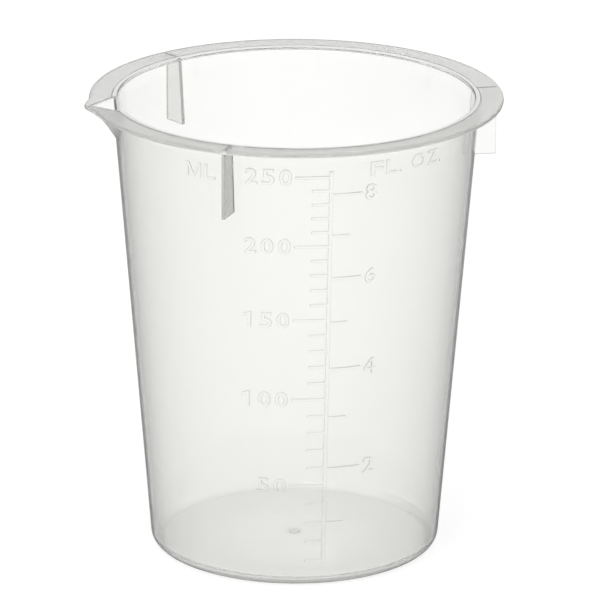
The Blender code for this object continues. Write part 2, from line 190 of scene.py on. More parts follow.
def moulding_profile():
    """The beaker's section as (radius, height, share of the flange's reach), from the axis under the
    base out, up the wall, round the flange and down the inside back to the axis."""
    gate_low = PUSH_UP_RISE - GATE_HEIGHT
    gate_foot = GATE_RADIUS + GATE_FOOT
    outside = [(0.0, gate_low), (GATE_RADIUS - GATE_DRAFT, gate_low), (gate_foot, PUSH_UP_RISE)]
    outer_corner = corner_arc(BASE_RADIUS, 0.0, OUTER_CORNER, OUTER_CORNER_STEPS)[::-1]
    floor_rings = [GATE_SCUFF] + [float(r) for r in range(FIRST_FLOOR_RING, int(outer_corner[0][0]))]
    outside += [(radius, push_up(radius)) for radius in floor_rings] + outer_corner
    outside.append((outer_radius(OUTER_CORNER + BLEND), OUTER_CORNER + BLEND))
    underside = HEIGHT - FLANGE
    wall_end = underside - FLANGE_FILLET
    change = HEIGHT - NEAR_FLANGE - BLEND
    turn_clear = (outer_radius(change), change)
    outside += rows(outside[-1], turn_clear, WALL_ROWS)[1:]
    outside += rows(turn_clear, (outer_radius(wall_end), wall_end), NEAR_FLANGE_ROWS)
    fillet_centre = (outer_radius(wall_end) + FLANGE_FILLET, wall_end)
    outside += arc(fillet_centre, FLANGE_FILLET, 180.0, 90.0, FILLET_STEPS)
    section = [(r, z, 0.0) for r, z in outside]
    rim = arc((0.0, underside + FLANGE_EDGE), FLANGE_EDGE, -90.0, 0.0, EDGE_STEPS)
    rim += arc((0.0, HEIGHT - FLANGE_EDGE), FLANGE_EDGE, 0.0, 90.0, EDGE_STEPS)
    section += [(r - FLANGE_EDGE, z, 1.0) for r, z in rim]
    section.append((-FLANGE_EDGE - RIM_LINE, HEIGHT, 1.0))
    land = inner_radius(HEIGHT) + LIP_LAND
    inside = [(land + LIP_STEP, HEIGHT), (land, HEIGHT - LIP_STEP)]
    edge_centre = (inner_radius(HEIGHT) + LIP_EDGE, HEIGHT - LIP_STEP - LIP_EDGE)
    inside += arc(edge_centre, LIP_EDGE, 90.0, 180.0, LIP_STEPS)
    inner_corner = corner_arc(BASE_RADIUS - WALL, FLOOR, INNER_CORNER, INNER_CORNER_STEPS)
    inside += rows(inside[-1], inner_corner[0], WALL_ROWS)[1:] + inner_corner
    inside += [(radius, FLOOR + push_up(radius)) for radius in reversed(floor_rings)]
    inside += [(gate_foot, FLOOR + PUSH_UP_RISE), (0.0, FLOOR + PUSH_UP_RISE)]
    section += [(r, z, 0.0) for r, z in inside]
    return section


def make_turned_body():
    bm = bmesh.new()
    section = moulding_profile()
    rings = []
    for radius, z, reach in section:
        if radius == 0.0 and reach == 0.0:
            rings.append([bm.verts.new((0.0, 0.0, z * MM))])
            continue
        ring = []
        for index in range(TURN_STEPS):
            angle = math.tau * index / TURN_STEPS - math.pi
            r = radius + reach * flange_edge_radius(angle)
            ring.append(bm.verts.new((r * math.cos(angle) * MM, r * math.sin(angle) * MM, z * MM)))
        rings.append(ring)
    for low, high in zip(rings, rings[1:]):
        for index in range(TURN_STEPS):
            after = (index + 1) % TURN_STEPS
            if len(low) == 1:
                bm.faces.new((low[0], high[after], high[index]))
            elif len(high) == 1:
                bm.faces.new((low[index], low[after], high[0]))
            else:
                bm.faces.new((low[index], low[after], high[after], high[index]))
    bmesh.ops.recalc_face_normals(bm, faces=bm.faces)
    return new_object("beaker_moulding", bm)


def loft(name, sections):
    """Closes a stack of outlines, each a list of (x, y) at a height, into a solid."""
    bm = bmesh.new()
    rings = [[bm.verts.new((x * MM, y * MM, z * MM)) for x, y in outline] for outline, z in sections]
    count = len(rings[0])
    for low, high in zip(rings, rings[1:]):
        for index in range(count):
            after = (index + 1) % count
            bm.faces.new((low[index], low[after], high[after], high[index]))
    bm.faces.new(rings[0])
    bm.faces.new(rings[-1])
    bmesh.ops.recalc_face_normals(bm, faces=bm.faces)
    return new_object(name, bm)


def rounded_tip(reach, rounding):
    """The trough's square corner, pointing along -X from its axis, rounded. From +Y to -Y."""
    rounding = min(rounding, reach * LARGEST_ROUNDING_SHARE)
    centre = (-SPOUT_AXIS - reach + rounding * math.sqrt(2.0), 0.0)
    return arc(centre, rounding, 135.0, 225.0, TIP_STEPS)


def keel():
    """Outer keel as (reach from the trough's axis, height): its root, its knee and its tip."""
    return [
        (SPOUT_ROOT_REACH, HEIGHT - SPOUT_DEPTH),
        (SPOUT_KNEE_REACH, HEIGHT - SPOUT_KNEE_DROP),
        (SPOUT_TIP - SPOUT_AXIS, HEIGHT - FLANGE / 2),
    ]


def inner_keel():
    """The keel moved in by the spout's wall, square to the trough's faces."""
    root_two = math.sqrt(2.0)
    low, knee, high = [(reach / root_two, z) for reach, z in keel()]
    lower = (knee[1] - low[1]) / (knee[0] - low[0])
    upper = (high[1] - knee[1]) / (high[0] - knee[0])
    lower_start = low[1] + SPOUT_WALL * math.hypot(1.0, lower)
    upper_start = knee[1] - upper * knee[0] + SPOUT_WALL * math.hypot(1.0, upper)
    knee_x = (upper_start - lower_start) / (lower - upper)
    high_x = (HEIGHT - upper_start) / upper
    points = [(0.0, lower_start), (knee_x, lower_start + lower * knee_x), (high_x, HEIGHT)]
    return [(x * root_two, z) for x, z in points]


def reach_at(points, z):
    """Reach of a keel at a height."""
    (r0, z0), (r1, z1), (r2, z2) = points
    if z <= z1:
        return r0 + (r1 - r0) * (z - z0) / (z1 - z0)
    return r1 + (r2 - r1) * (z - z1) / (z2 - z1)


def spread(start, end):
    """The heights at which a part of the spout is cut into outlines."""
    return [start + (end - start) * index / SPOUT_LEVELS for index in range(SPOUT_LEVELS + 1)]


def softened(points, levels):
    """Reach at each level, with the knee eased by averaging a little above and below."""
    result = []
    for z in levels:
        near = max(0.0, 1.0 - abs(z - points[1][1]) / KNEE_EASE)
        ease = sum(reach_at(points, z + shift * KNEE_EASE * 0.5) for shift in (-1, 0, 1)) / 3
        result.append((reach_at(points, z) * (1 - near) + ease * near, z))
    return result


def make_trough():
    points = keel()
    sections = []
    for reach, z in softened(points, spread(points[0][1], points[2][1])):
        root = inner_radius(z) + TROUGH_ROOT
        half = reach - (root - SPOUT_AXIS)
        tip = rounded_tip(max(reach, SMALLEST_SPOUT_REACH), KEEL_ROUNDING)
        sections.append(([(-root, half)] + tip + [(-root, -half)], z))
    return loft("trough_outside", sections)


def make_channel():
    points = inner_keel()
    reaches = softened(points, spread(points[0][1] + CHANNEL_LIFT, HEIGHT))
    sections = []
    for reach, z in reaches + [(reach_at(points, HEIGHT), HEIGHT + CHANNEL_OVERSHOOT)]:
        side = [(-SPOUT_AXIS, reach)] + rounded_tip(reach, CHANNEL_ROUNDING) + [(-SPOUT_AXIS, -reach)]
        sections.append((side + [(-SPOUT_AXIS + reach, 0.0)], z))
    return loft("trough_channel", sections)


def make_fin(angle):
    bottom = HEIGHT - FLANGE - FIN_HEIGHT
    top = HEIGHT - FLANGE / 2
    start = inner_radius(bottom) + WALL / 2
    bm = bmesh.new()
    bmesh.ops.create_cube(bm, size=1.0)
    for vert in bm.verts:
        outer = vert.co.x > 0
        x = FIN_REACH if outer else start + (TAPER * (top - bottom) if vert.co.z > 0 else 0.0)
        y = math.copysign(FIN_THICKNESS / 2 - (FIN_DRAFT if outer else 0.0), vert.co.y)
        vert.co = (x * MM, y * MM, (top if vert.co.z > 0 else bottom) * MM)
    seen_edges = []
    for edge in bm.edges:
        at_end = all(vert.co.x > (FIN_REACH - FIN_EDGE_SEARCH) * MM for vert in edge.verts)
        at_bottom = all(vert.co.z < (bottom + FIN_EDGE_SEARCH) * MM for vert in edge.verts)
        if at_end or at_bottom:
            seen_edges.append(edge)
    shape = {"segments": EDGE_STEPS, "profile": 0.5, "affect": "EDGES"}
    bmesh.ops.bevel(bm, geom=seen_edges, offset=FIN_EDGE * MM, **shape)
    fin = new_object("fin", bm)
    fin.data.transform(Matrix.Rotation(math.radians(angle), 4, "Z"))
    return fin


# Scale. Distances round the wall are arc lengths from the plane x = 0, + to the right.
TOP_MARK_DROP = 5.2
TOP_MARK = HEIGHT - FLANGE - TOP_MARK_DROP
LARGEST_MILLILITRES = 250
TICK_MILLILITRES = 10
NUMBERED_MILLILITRES = 50
MILLILITRES_PER_OUNCE = 29.5735
LARGEST_OUNCES = 8
NUMBERED_OUNCES = 2
MARK_WIDTH = 0.5
RULE_WIDTH = 0.7
RULE_OFFSET = 0.4
RULE_OVERRUN = 1.2
MINOR_MILLILITRE_LENGTH = 3.3
MINOR_OUNCE_LENGTH = 3.5
DIGIT_HEIGHT = 3.3
DIGIT_WIDTH = 2.5
DIGIT_PITCH = 3.3
ONE_WIDTH_SHARE = 0.7
NUMERAL_GAP = 0.6
NUMERAL_RIGHT = -7.06
OUNCE_NUMERAL_OFFSET = 7.9
OUNCE_NUMERAL_DRIFT = 1.3
LETTER_HEIGHT = 3.0
LETTER_WIDTHS = {"M": 3.5, "L": 2.6, "F": 2.8, "O": 3.4, "Z": 3.0, ".": 0.6}
LETTER_GAP = 0.5
WORD_GAP = 2.3
MILLILITRE_LABEL_LEFT = -28.7
OUNCE_LABEL_LEFT = 8.1
LABEL_LIFT = 1.4

# Outlines of the characters that are drawn, in shares of their width and height.
FLAG = [(0.72, 1.0), (0.0, 0.84), (0.0, 0.68), (0.62, 0.78)]
FLAGGED_ONE = [(0.62, 0.0), (1.0, 0.0), (1.0, 1.0)] + FLAG
HALF_M = [(0.5, 0.24), (0.2, 1.0), (0.0, 1.0), (0.0, 0.0), (0.145, 0.0), (0.145, 0.7), (0.42, 0.0)]
M_OUTLINE = HALF_M + [(1.0 - x, y) for x, y in reversed(HALF_M[1:])]
FOUR_FOOT = [(0.68, 0.0), (0.88, 0.0), (0.88, 0.22)]
FOUR_RIGHT = [(1.0, 0.22), (1.0, 0.38), (0.88, 0.38), (0.88, 1.0)]
FOUR_LEFT = [(0.66, 1.0), (0.0, 0.38), (0.0, 0.22), (0.68, 0.22)]
FOUR_HOLE = [(0.68, 0.38), (0.68, 0.79), (0.24, 0.38)]
ROUND_DOT = arc((0.5, 0.5), 0.5, 0.0, 324.0, 9)
DRAWN_GLYPHS = {
    "1": [FLAGGED_ONE],
    "4": [FOUR_FOOT + FOUR_RIGHT + FOUR_LEFT, FOUR_HOLE],
    "M": [M_OUTLINE],
    ".": [ROUND_DOT],
}
FONT_SCALE = 4.5
FONT_RESOLUTION = 4
BEND_STEP = 0.7
CUT_REACH = 0.01
WELD = 0.002


def aside(across):
    """0 for marks in the middle of the scale and 1 for those far round the wall to either side."""
    return clamp((abs(across - FADE_MIDDLE) - FADE_START) / FADE_RUN)


def fill_height(millilitres):
    """Height of the surface of a volume inside the tapered wall."""
    floor_cube = inner_radius(FLOOR) ** 3
    top_cube = inner_radius(TOP_MARK) ** 3
    share = millilitres / LARGEST_MILLILITRES
    return ((floor_cube + share * (top_cube - floor_cube)) ** (1 / 3) + WALL - BASE_RADIUS) / TAPER


def mesh_of_curve(curve):
    """The curve's welded mesh, as a bmesh."""
    holder = bpy.data.objects.new("curve", curve)
    bpy.context.scene.collection.objects.link(holder)
    bpy.context.view_layer.update()
    evaluated = holder.evaluated_get(bpy.context.evaluated_depsgraph_get())
    mesh = bpy.data.meshes.new_from_object(evaluated)
    bpy.data.objects.remove(holder, do_unlink=True)
    bm = bmesh.new()
    bm.from_mesh(mesh)
    bpy.data.meshes.remove(mesh)
    bmesh.ops.remove_doubles(bm, verts=bm.verts, dist=WELD)
    bmesh.ops.recalc_face_normals(bm, faces=bm.faces)
    return bm


def thicken(curve, scale, growth):
    """Gives a flat curve sloping sides; scale is millimetres in a unit of it."""
    curve.bevel_depth = MARK_EDGE / scale
    curve.bevel_resolution = 0
    curve.offset = (growth - MARK_EDGE) / scale


def drawn(outlines):
    curve = bpy.data.curves.new("outline", "CURVE")
    curve.dimensions = "2D"
    curve.fill_mode = "BOTH"
    for outline in outlines:
        spline = curve.splines.new("POLY")
        spline.points.add(len(outline) - 1)
        for point, (x, y) in zip(spline.points, outline):
            point.co = (x, y, 0.0, 1.0)
        spline.use_cyclic_u = True
    thicken(curve, 1.0, MARK_GROWTH)
    return mesh_of_curve(curve)


def typed(character):
    text = bpy.data.curves.new("text", "FONT")
    text.body = character
    text.resolution_u = FONT_RESOLUTION
    thicken(text, FONT_SCALE, MARK_EDGE)
    return mesh_of_curve(text)


def bend(bm, left, bottom, width, height, relief=RELIEF):
    """Fits a flat mark into its box on the wall, cuts it into short chords and wraps it round. Half
    its depth is sunk in the wall, so that only its sloping upper half shows."""
    low = [min(vert.co[axis] for vert in bm.verts) for axis in range(3)]
    high = [max(vert.co[axis] for vert in bm.verts) for axis in range(3)]
    for vert in bm.verts:
        vert.co.x = left + (vert.co.x - low[0]) / (high[0] - low[0]) * width
        vert.co.y = bottom + (vert.co.y - low[1]) / (high[1] - low[1]) * height
        vert.co.z = relief * (1.0 - 2.0 * (high[2] - vert.co.z) / (high[2] - low[2]))
    for index in range(1, math.ceil(width / BEND_STEP)):
        geometry = bm.verts[:] + bm.edges[:] + bm.faces[:]
        plane = (left + index * BEND_STEP, 0.0, 0.0)
        bmesh.ops.bisect_plane(bm, geom=geometry, dist=CUT_REACH, plane_co=plane, plane_no=(1, 0, 0))
    for vert in bm.verts:
        u, z, lift = vert.co
        lift *= 1.0 - RELIEF_FADE * aside(u)
        angle = u / outer_radius(z)
        radius = outer_radius(z) + lift - MARK_SINK
        vert.co = (radius * math.sin(angle) * MM, -radius * math.cos(angle) * MM, z * MM)
    bmesh.ops.triangulate(bm, faces=bm.faces)


def absorb(marks, bm):
    """Moves one finished mark into the mesh of all the marks."""
    mesh = bpy.data.meshes.new("mark")
    bm.to_mesh(mesh)
    bm.free()
    marks.from_mesh(mesh)
    bpy.data.meshes.remove(mesh)


def add_glyph(marks, character, left, bottom, width, height, relief=RELIEF):
    if character in DRAWN_GLYPHS:
        shares = DRAWN_GLYPHS[character]
        bm = drawn([[(x * width, y * height) for x, y in outline] for outline in shares])
    else:
        bm = typed(character)
    bend(bm, left, bottom, width, height, relief)
    absorb(marks, bm)


def add_number(marks, number, right, middle):
    digits = str(number)
    for index, digit in enumerate(digits):
        left = right - DIGIT_WIDTH - (len(digits) - 1 - index) * DIGIT_PITCH
        width = DIGIT_WIDTH * (ONE_WIDTH_SHARE if digit == "1" else 1.0)
        add_glyph(marks, digit, left, middle - DIGIT_HEIGHT / 2, width, DIGIT_HEIGHT)


def add_words(marks, words, left, bottom):
    for word in words:
        for character in word:
            width = LETTER_WIDTHS[character]
            height = width if character == "." else LETTER_HEIGHT
            add_glyph(marks, character, left, bottom, width, height, WORD_RELIEF)
            left += width + LETTER_GAP
        left += WORD_GAP - LETTER_GAP


def ounce_numeral_middle(z):
    return RULE_OFFSET + OUNCE_NUMERAL_OFFSET + OUNCE_NUMERAL_DRIFT * (1.0 - z / HEIGHT)


def add_rule(marks):
    """The upright rule with its ticks, as one comb-shaped outline."""
    left = RULE_OFFSET - RULE_WIDTH / 2
    right = left + RULE_WIDTH
    half = MARK_WIDTH / 2
    outline = [(left, fill_height(TICK_MILLILITRES) - MARK_WIDTH)]
    for volume in range(TICK_MILLILITRES, LARGEST_MILLILITRES + 1, TICK_MILLILITRES):
        z = fill_height(volume)
        end = left - MINOR_MILLILITRE_LENGTH
        if volume % NUMBERED_MILLILITRES == 0:
            end = NUMERAL_RIGHT + NUMERAL_GAP
        outline += [(left, z - half), (end, z - half), (end, z + half), (left, z + half)]
    outline += [(left, TOP_MARK + RULE_OVERRUN), (right, TOP_MARK + RULE_OVERRUN)]
    for count in range(LARGEST_OUNCES, 0, -1):
        z = fill_height(count * MILLILITRES_PER_OUNCE)
        end = right + MINOR_OUNCE_LENGTH
        if count % NUMBERED_OUNCES == 0:
            end = ounce_numeral_middle(z) - DIGIT_WIDTH / 2 - NUMERAL_GAP
        outline += [(right, z + half), (end, z + half), (end, z - half), (right, z - half)]
    outline.append((right, outline[0][1]))
    bm = drawn([outline])
    lowest = [min(point[axis] for point in outline) for axis in range(2)]
    highest = [max(point[axis] for point in outline) for axis in range(2)]
    bend(bm, lowest[0], lowest[1], highest[0] - lowest[0], highest[1] - lowest[1])
    absorb(marks, bm)


def make_marks():
    marks = bmesh.new()
    add_rule(marks)
    for volume in range(NUMBERED_MILLILITRES, LARGEST_MILLILITRES + 1, NUMBERED_MILLILITRES):
        add_number(marks, volume, NUMERAL_RIGHT, fill_height(volume))
    for count in range(NUMBERED_OUNCES, LARGEST_OUNCES + 1, NUMBERED_OUNCES):
        z = fill_height(count * MILLILITRES_PER_OUNCE)
        add_number(marks, count, ounce_numeral_middle(z) + DIGIT_WIDTH / 2, z)
    add_words(marks, ["ML"], MILLILITRE_LABEL_LEFT, TOP_MARK - DIGIT_HEIGHT / 2)
    label_bottom = fill_height(LARGEST_OUNCES * MILLILITRES_PER_OUNCE) + DIGIT_HEIGHT / 2 + LABEL_LIFT
    add_words(marks, ["FL.", "OZ."], OUNCE_LABEL_LEFT, label_bottom)
    return new_object("marks", marks)


def close_pinholes(mesh):
    """Fills the few tiny triangles that the joins leave open."""
    bm = bmesh.new()
    bm.from_mesh(mesh)
    open_edges = [edge for edge in bm.edges if edge.is_boundary]
    bmesh.ops.holes_fill(bm, edges=open_edges, sides=4)
    bm.to_mesh(mesh)
    bm.free()


def combine(target, others, operation):
    """Joins or cuts with each solid in turn, then keeps the result as the target's own mesh."""
    for other in others:
        modifier = target.modifiers.new(other.name, "BOOLEAN")
        modifier.operation = operation
        modifier.solver = "EXACT"
        modifier.object = other
    bpy.context.view_layer.update()
    evaluated = target.evaluated_get(bpy.context.evaluated_depsgraph_get())
    mesh = bpy.data.meshes.new_from_object(evaluated)
    close_pinholes(mesh)
    target.modifiers.clear()
    target.data = mesh
    for other in others:
        bpy.data.objects.remove(other, do_unlink=True)


def make_moulding():
    body = make_turned_body()
    combine(body, [make_trough()], "UNION")
    combine(body, [make_channel()], "DIFFERENCE")
    combine(body, [make_fin(angle) for angle in FIN_ANGLES], "UNION")
    combine(body, [make_marks()], "UNION")
    body.data.shade_smooth()
    body.data.set_sharp_from_angle(angle=math.radians(SHARP_ANGLE))
    weigh = body.modifiers.new("weighted_normals", "WEIGHTED_NORMAL")
    weigh.keep_sharp = True
    return body


# How much light comes through the plastic's outer surface as it turns away from the eye.
CLEARNESS_BY_FACING = (
    (0.0, 1.0),
    (0.13, 0.95),
    (0.3, 0.9),
    (0.4, 0.84),
    (0.47, 0.8),
    (0.56, 0.72),
    (0.69, 0.55),
    (0.75, 0.48),
    (0.8, 0.44),
    (0.83, 0.2),
    (0.86, 0.08),
    (1.0, 0.03),
)
INSIDE_EXPONENT = 0.1
IOR = 1.49
TRANSMISSION = 0.95
MILKY_TRANSMISSION = 0.05
CLEAR_TINT = (1.0, 1.0, 0.985, 1.0)
FROST_TINT = (1.0, 1.0, 0.985, 1.0)
CLEAR_ROUGHNESS = 0.05
FROST_ROUGHNESS = 0.14
ROUGHNESS_CHANGE = 0.03
GRAIN_SCALE = 350.0
GRAIN_DETAIL = 3.0
HUE_CHANGE = 0.25
HUE_SCALE = 32.0
HUE_DETAIL = 1.0
ABSORPTION_TINT = (0.86, 0.93, 0.84, 1.0)
ABSORPTION_DENSITY = 20.0

# Where the plastic is milkier or clearer than that, and where painted shade darkens its colour.
# Lengths are in millimetres.
# HAIR tells which side of a level or of the wall a face is on.
HAIR = 0.01
# Painted shade on the lip's step.
STEP_PAINTED_SHADE = 0.3
LAND_MILK = 1.0
FLANGE_MILK = 0.3
FLANGE_START = MOUTH_RADIUS + FLANGE_FILLET - 0.05
FLANGE_EDGE_BAND = 0.5
# Painted shade on the flange's outer edge, and a painted dark line along its rim at the back.
FLANGE_EDGE_PAINTED_SHADE = 0.15
RIM_LINE_PAINTED_SHADE = 0.5
LIP_CLEARNESS = 0.5
# Painted shade on the lip's rounded edge.
LIP_PAINTED_SHADE = 0.1
SPOUT_SLANT = 0.2
SPOUT_PROUD = 0.02
SPOUT_CLEARNESS = 0.5
# Painted shade on the outside of the spout.
SPOUT_PAINTED_SHADE = 0.3
SPOUT_MILK = 0.42
CHANNEL_BAND = 0.3
CORNER_DEPTH = 0.25
CORNER_MILK = 0.7
CORNER_START = 4.6
CORNER_END = 8.5
CORNER_FADE = 3.0
FIN_SPREAD = 2.0
FIN_PROUD = 0.4
# Painted shade on the fins' sides and ends, one value for each fin.
FIN_SIDE_PAINTED_SHADE = (0.0, 0.04, 0.25)
FIN_END_BAND = 0.2
FIN_END_PAINTED_SHADE = (0.1, 0.8, 0.6)
MARK_SIDE_FACING = 0.93
MARK_SIDE_CLEARNESS = 0.9
# Painted shade on the sides of the raised marks.
MARK_SIDE_PAINTED_SHADE = 0.06
MARK_SIDE_MILK = 0.75
MARKS_REACH = 1.0
# Painted shade on the inner wall seen over the front rim, darker towards the sides.
INNER_WALL_PAINTED_SHADE = 0.02
INNER_WALL_SIDE_PAINTED_SHADE = 0.045
INNER_WALL_SHADE_FADE = 6.0
SIGHT_SLOPE = 0.34
BASE_TOP = FLOOR + PUSH_UP_RISE + 0.1
# Painted shade on the gate mark.
GATE_PAINTED_SHADE = 0.3
# Painted shade on the base, growing towards its edge.
FLOOR_RING_START = 10.0
FLOOR_RING_RUN = 9.0
FLOOR_RING_PAINTED_SHADE = 0.05
BOTTOM_FACING = -0.15
BOTTOM_MILK = 0.55
BOTTOM_MILK_SIDES = 0.7
BOTTOM_CLEARNESS = 0.8


def on_channel(x, y, z):
    """Whether a point lies on the spout's inner faces."""
    if x > -SPOUT_AXIS or z > HEIGHT - HAIR:
        return False
    return abs(-x - SPOUT_AXIS + abs(y) - reach_at(inner_keel(), z)) < CHANNEL_BAND


# The third region is painted shade, which darkens the plastic's colour.
REGIONS = ("frost", "inside", "painted_shade", "milk")


def flange_regions(y, z, reach, turn):
    """The regions on the flange's faces, at a distance and a turn round the axis."""
    if z > HEIGHT - LIP_STEP - HAIR:
        if reach > flange_edge_radius(turn) - FLANGE_EDGE - RIM_LINE:
            # A painted dark line along the back of the flange's rim.
            return 1.0, 0.0, RIM_LINE_PAINTED_SHADE * clamp(y / reach), FLANGE_MILK
        on_step = abs(reach - inner_radius(HEIGHT) - LIP_LAND - LIP_STEP / 2) < LIP_STEP
        on_land = reach < inner_radius(HEIGHT) + LIP_LAND
        # Painted shade on the lip's step.
        return 1.0, 0.0, STEP_PAINTED_SHADE if on_step else 0.0, LAND_MILK if on_land else FLANGE_MILK
    if z > HEIGHT - FLANGE_EDGE and reach > FLANGE_RADIUS - FLANGE_EDGE_BAND:
        # Painted shade on the flange's outer edge.
        return 0.0, 0.0, FLANGE_EDGE_PAINTED_SHADE, 0.0
    return 1.0, 0.0, 0.0, FLANGE_MILK


def spout_corner_milk(point):
    """How milky the wall's inside is beside the spout, fading out round it."""
    if point.x >= 0.0:
        return 0.0
    beside = min(point.y + CORNER_START, CORNER_END - point.y, point.z - HEIGHT + SPOUT_DEPTH)
    return CORNER_MILK * clamp(beside / CORNER_FADE)


def regions_at(point, centre, normal):
    """How frosted, how clear at every angle, how darkened by painted shade and how milky, each 0 to
    1, the surface is at a point of the face with this centre and normal."""
    x, y, z = centre
    reach = math.hypot(x, y)
    turn = math.atan2(y, x)
    if z > HEIGHT - LIP_STEP - HAIR or z > HEIGHT - FLANGE - HAIR and reach > FLANGE_START:
        return flange_regions(y, z, reach, turn)
    if z < BASE_TOP and reach < GATE_SCUFF:
        near_gate = 1.0 - min(math.hypot(point.x, point.y) / GATE_SCUFF, 1.0)
        # Rough at the gate mark, with painted shade fading out from its middle.
        return near_gate, 1.0, GATE_PAINTED_SHADE * near_gate, 0.0
    if on_channel(x, y, z):
        at_corner = reach < outer_radius(z) - CORNER_DEPTH or abs(y) > CORNER_START
        return 0.0, 1.0, 0.0, CORNER_MILK if at_corner else 0.0
    if z > HEIGHT - LIP_STEP - LIP_EDGE and reach < MOUTH_RADIUS:
        by_spout = x < 0.0 and abs(y) < CORNER_END
        # Painted shade on the lip's rounded edge.
        return 0.0, LIP_CLEARNESS, LIP_PAINTED_SHADE, CORNER_MILK if by_spout else 0.0
    for angle, side, end in zip(FIN_ANGLES, FIN_SIDE_PAINTED_SHADE, FIN_END_PAINTED_SHADE):
        away = abs((math.degrees(turn) % 360.0 - angle + 180.0) % 360.0 - 180.0)
        if away < FIN_SPREAD and reach > outer_radius(z) + FIN_PROUD:
            # Painted shade on the fins' sides and ends.
            return 0.0, 0.0, end if reach > FIN_REACH - FIN_END_BAND else side, 0.0
    in_front_of_spout = x * SPOUT_SLANT < y < 0.0 and z > HEIGHT - SPOUT_DEPTH
    if in_front_of_spout and reach > outer_radius(z) + SPOUT_PROUD:
        # Painted shade on the outside of the spout.
        return 0.0, SPOUT_CLEARNESS, SPOUT_PAINTED_SHADE, SPOUT_MILK
    if reach > outer_radius(z) + HAIR:
        if (normal.x * x + normal.y * y) / reach >= MARK_SIDE_FACING:
            return 0.0, 0.0, 0.0, 0.0
        if abs(math.atan2(x, -y)) > MARKS_REACH:
            return 0.0, MARK_SIDE_CLEARNESS, 0.0, 0.0
        # Painted shade on the sides of the raised marks.
        return 0.0, MARK_SIDE_CLEARNESS, MARK_SIDE_PAINTED_SHADE, MARK_SIDE_MILK
    if z < BASE_TOP and reach < BASE_RADIUS - OUTER_CORNER:
        ring = (math.hypot(point.x, point.y) - FLOOR_RING_START) / FLOOR_RING_RUN
        # Painted shade on the base, growing towards its edge.
        return 0.0, 1.0, FLOOR_RING_PAINTED_SHADE * clamp(ring), 0.0
    in_front = clamp(BOTTOM_MILK_SIDES - y / reach)
    on_corner = z < OUTER_CORNER and normal.z < BOTTOM_FACING and reach > BASE_RADIUS - OUTER_CORNER
    if in_front > 0.0 and on_corner:
        return 0.0, BOTTOM_CLEARNESS, 0.0, BOTTOM_MILK * in_front
    if reach < inner_radius(z) + WALL / 2:
        # Painted shade on the inner wall seen over the front rim, darker towards the sides.
        over_front_rim = point.z - HEIGHT + 2.0 * max(point.y, 0.0) * SIGHT_SLOPE
        inner_wall_shade = INNER_WALL_PAINTED_SHADE + INNER_WALL_SIDE_PAINTED_SHADE * abs(x) / reach
        return 0.0, 1.0, inner_wall_shade * clamp(over_front_rim / INNER_WALL_SHADE_FADE), spout_corner_milk(point)
    near_flange = point.z - (HEIGHT - NEAR_FLANGE - BLEND)
    near_floor = (OUTER_CORNER + BLEND - point.z) * BOTTOM_CLEARNESS
    return 0.0, clamp(max(near_flange, min(near_floor, BOTTOM_CLEARNESS))), 0.0, 0.0


def write_regions(mesh):
    columns = {name: [] for name in REGIONS}
    for face in mesh.polygons:
        centre = face.center / MM
        for corner in face.loop_indices:
            point = mesh.vertices[mesh.loops[corner].vertex_index].co / MM
            for column, value in zip(columns.values(), regions_at(point, centre, face.normal)):
                column.append(value)
    for name, column in columns.items():
        mesh.attributes.new(name, "FLOAT", "CORNER").data.foreach_set("value", column)


def mix_node(tree, blend, factor, first, second):
    """A colour mix whose factor and colours are sockets to link or values to set."""
    mix = tree.nodes.new("ShaderNodeMix")
    mix.data_type = "RGBA"
    mix.blend_type = blend
    for socket, value in (("Factor", factor), ("A", first), ("B", second)):
        target = next(entry for entry in mix.inputs if entry.name == socket and entry.enabled)
        if isinstance(value, bpy.types.NodeSocket):
            tree.links.new(value, target)
        else:
            target.default_value = value
    return next(entry for entry in mix.outputs if entry.enabled)


def range_node(tree, value, low, high):
    """Stretches a 0 to 1 value over another range."""
    stretch = tree.nodes.new("ShaderNodeMapRange")
    stretch.inputs["To Min"].default_value = low
    stretch.inputs["To Max"].default_value = high
    tree.links.new(value, stretch.inputs["Value"])
    return stretch.outputs["Result"]


def noise_node(tree, scale, detail):
    """Noise that stays with the object."""
    noise = tree.nodes.new("ShaderNodeTexNoise")
    noise.inputs["Scale"].default_value = scale
    noise.inputs["Detail"].default_value = detail
    place = tree.nodes.new("ShaderNodeTexCoord")
    tree.links.new(place.outputs["Object"], noise.inputs["Vector"])
    return noise


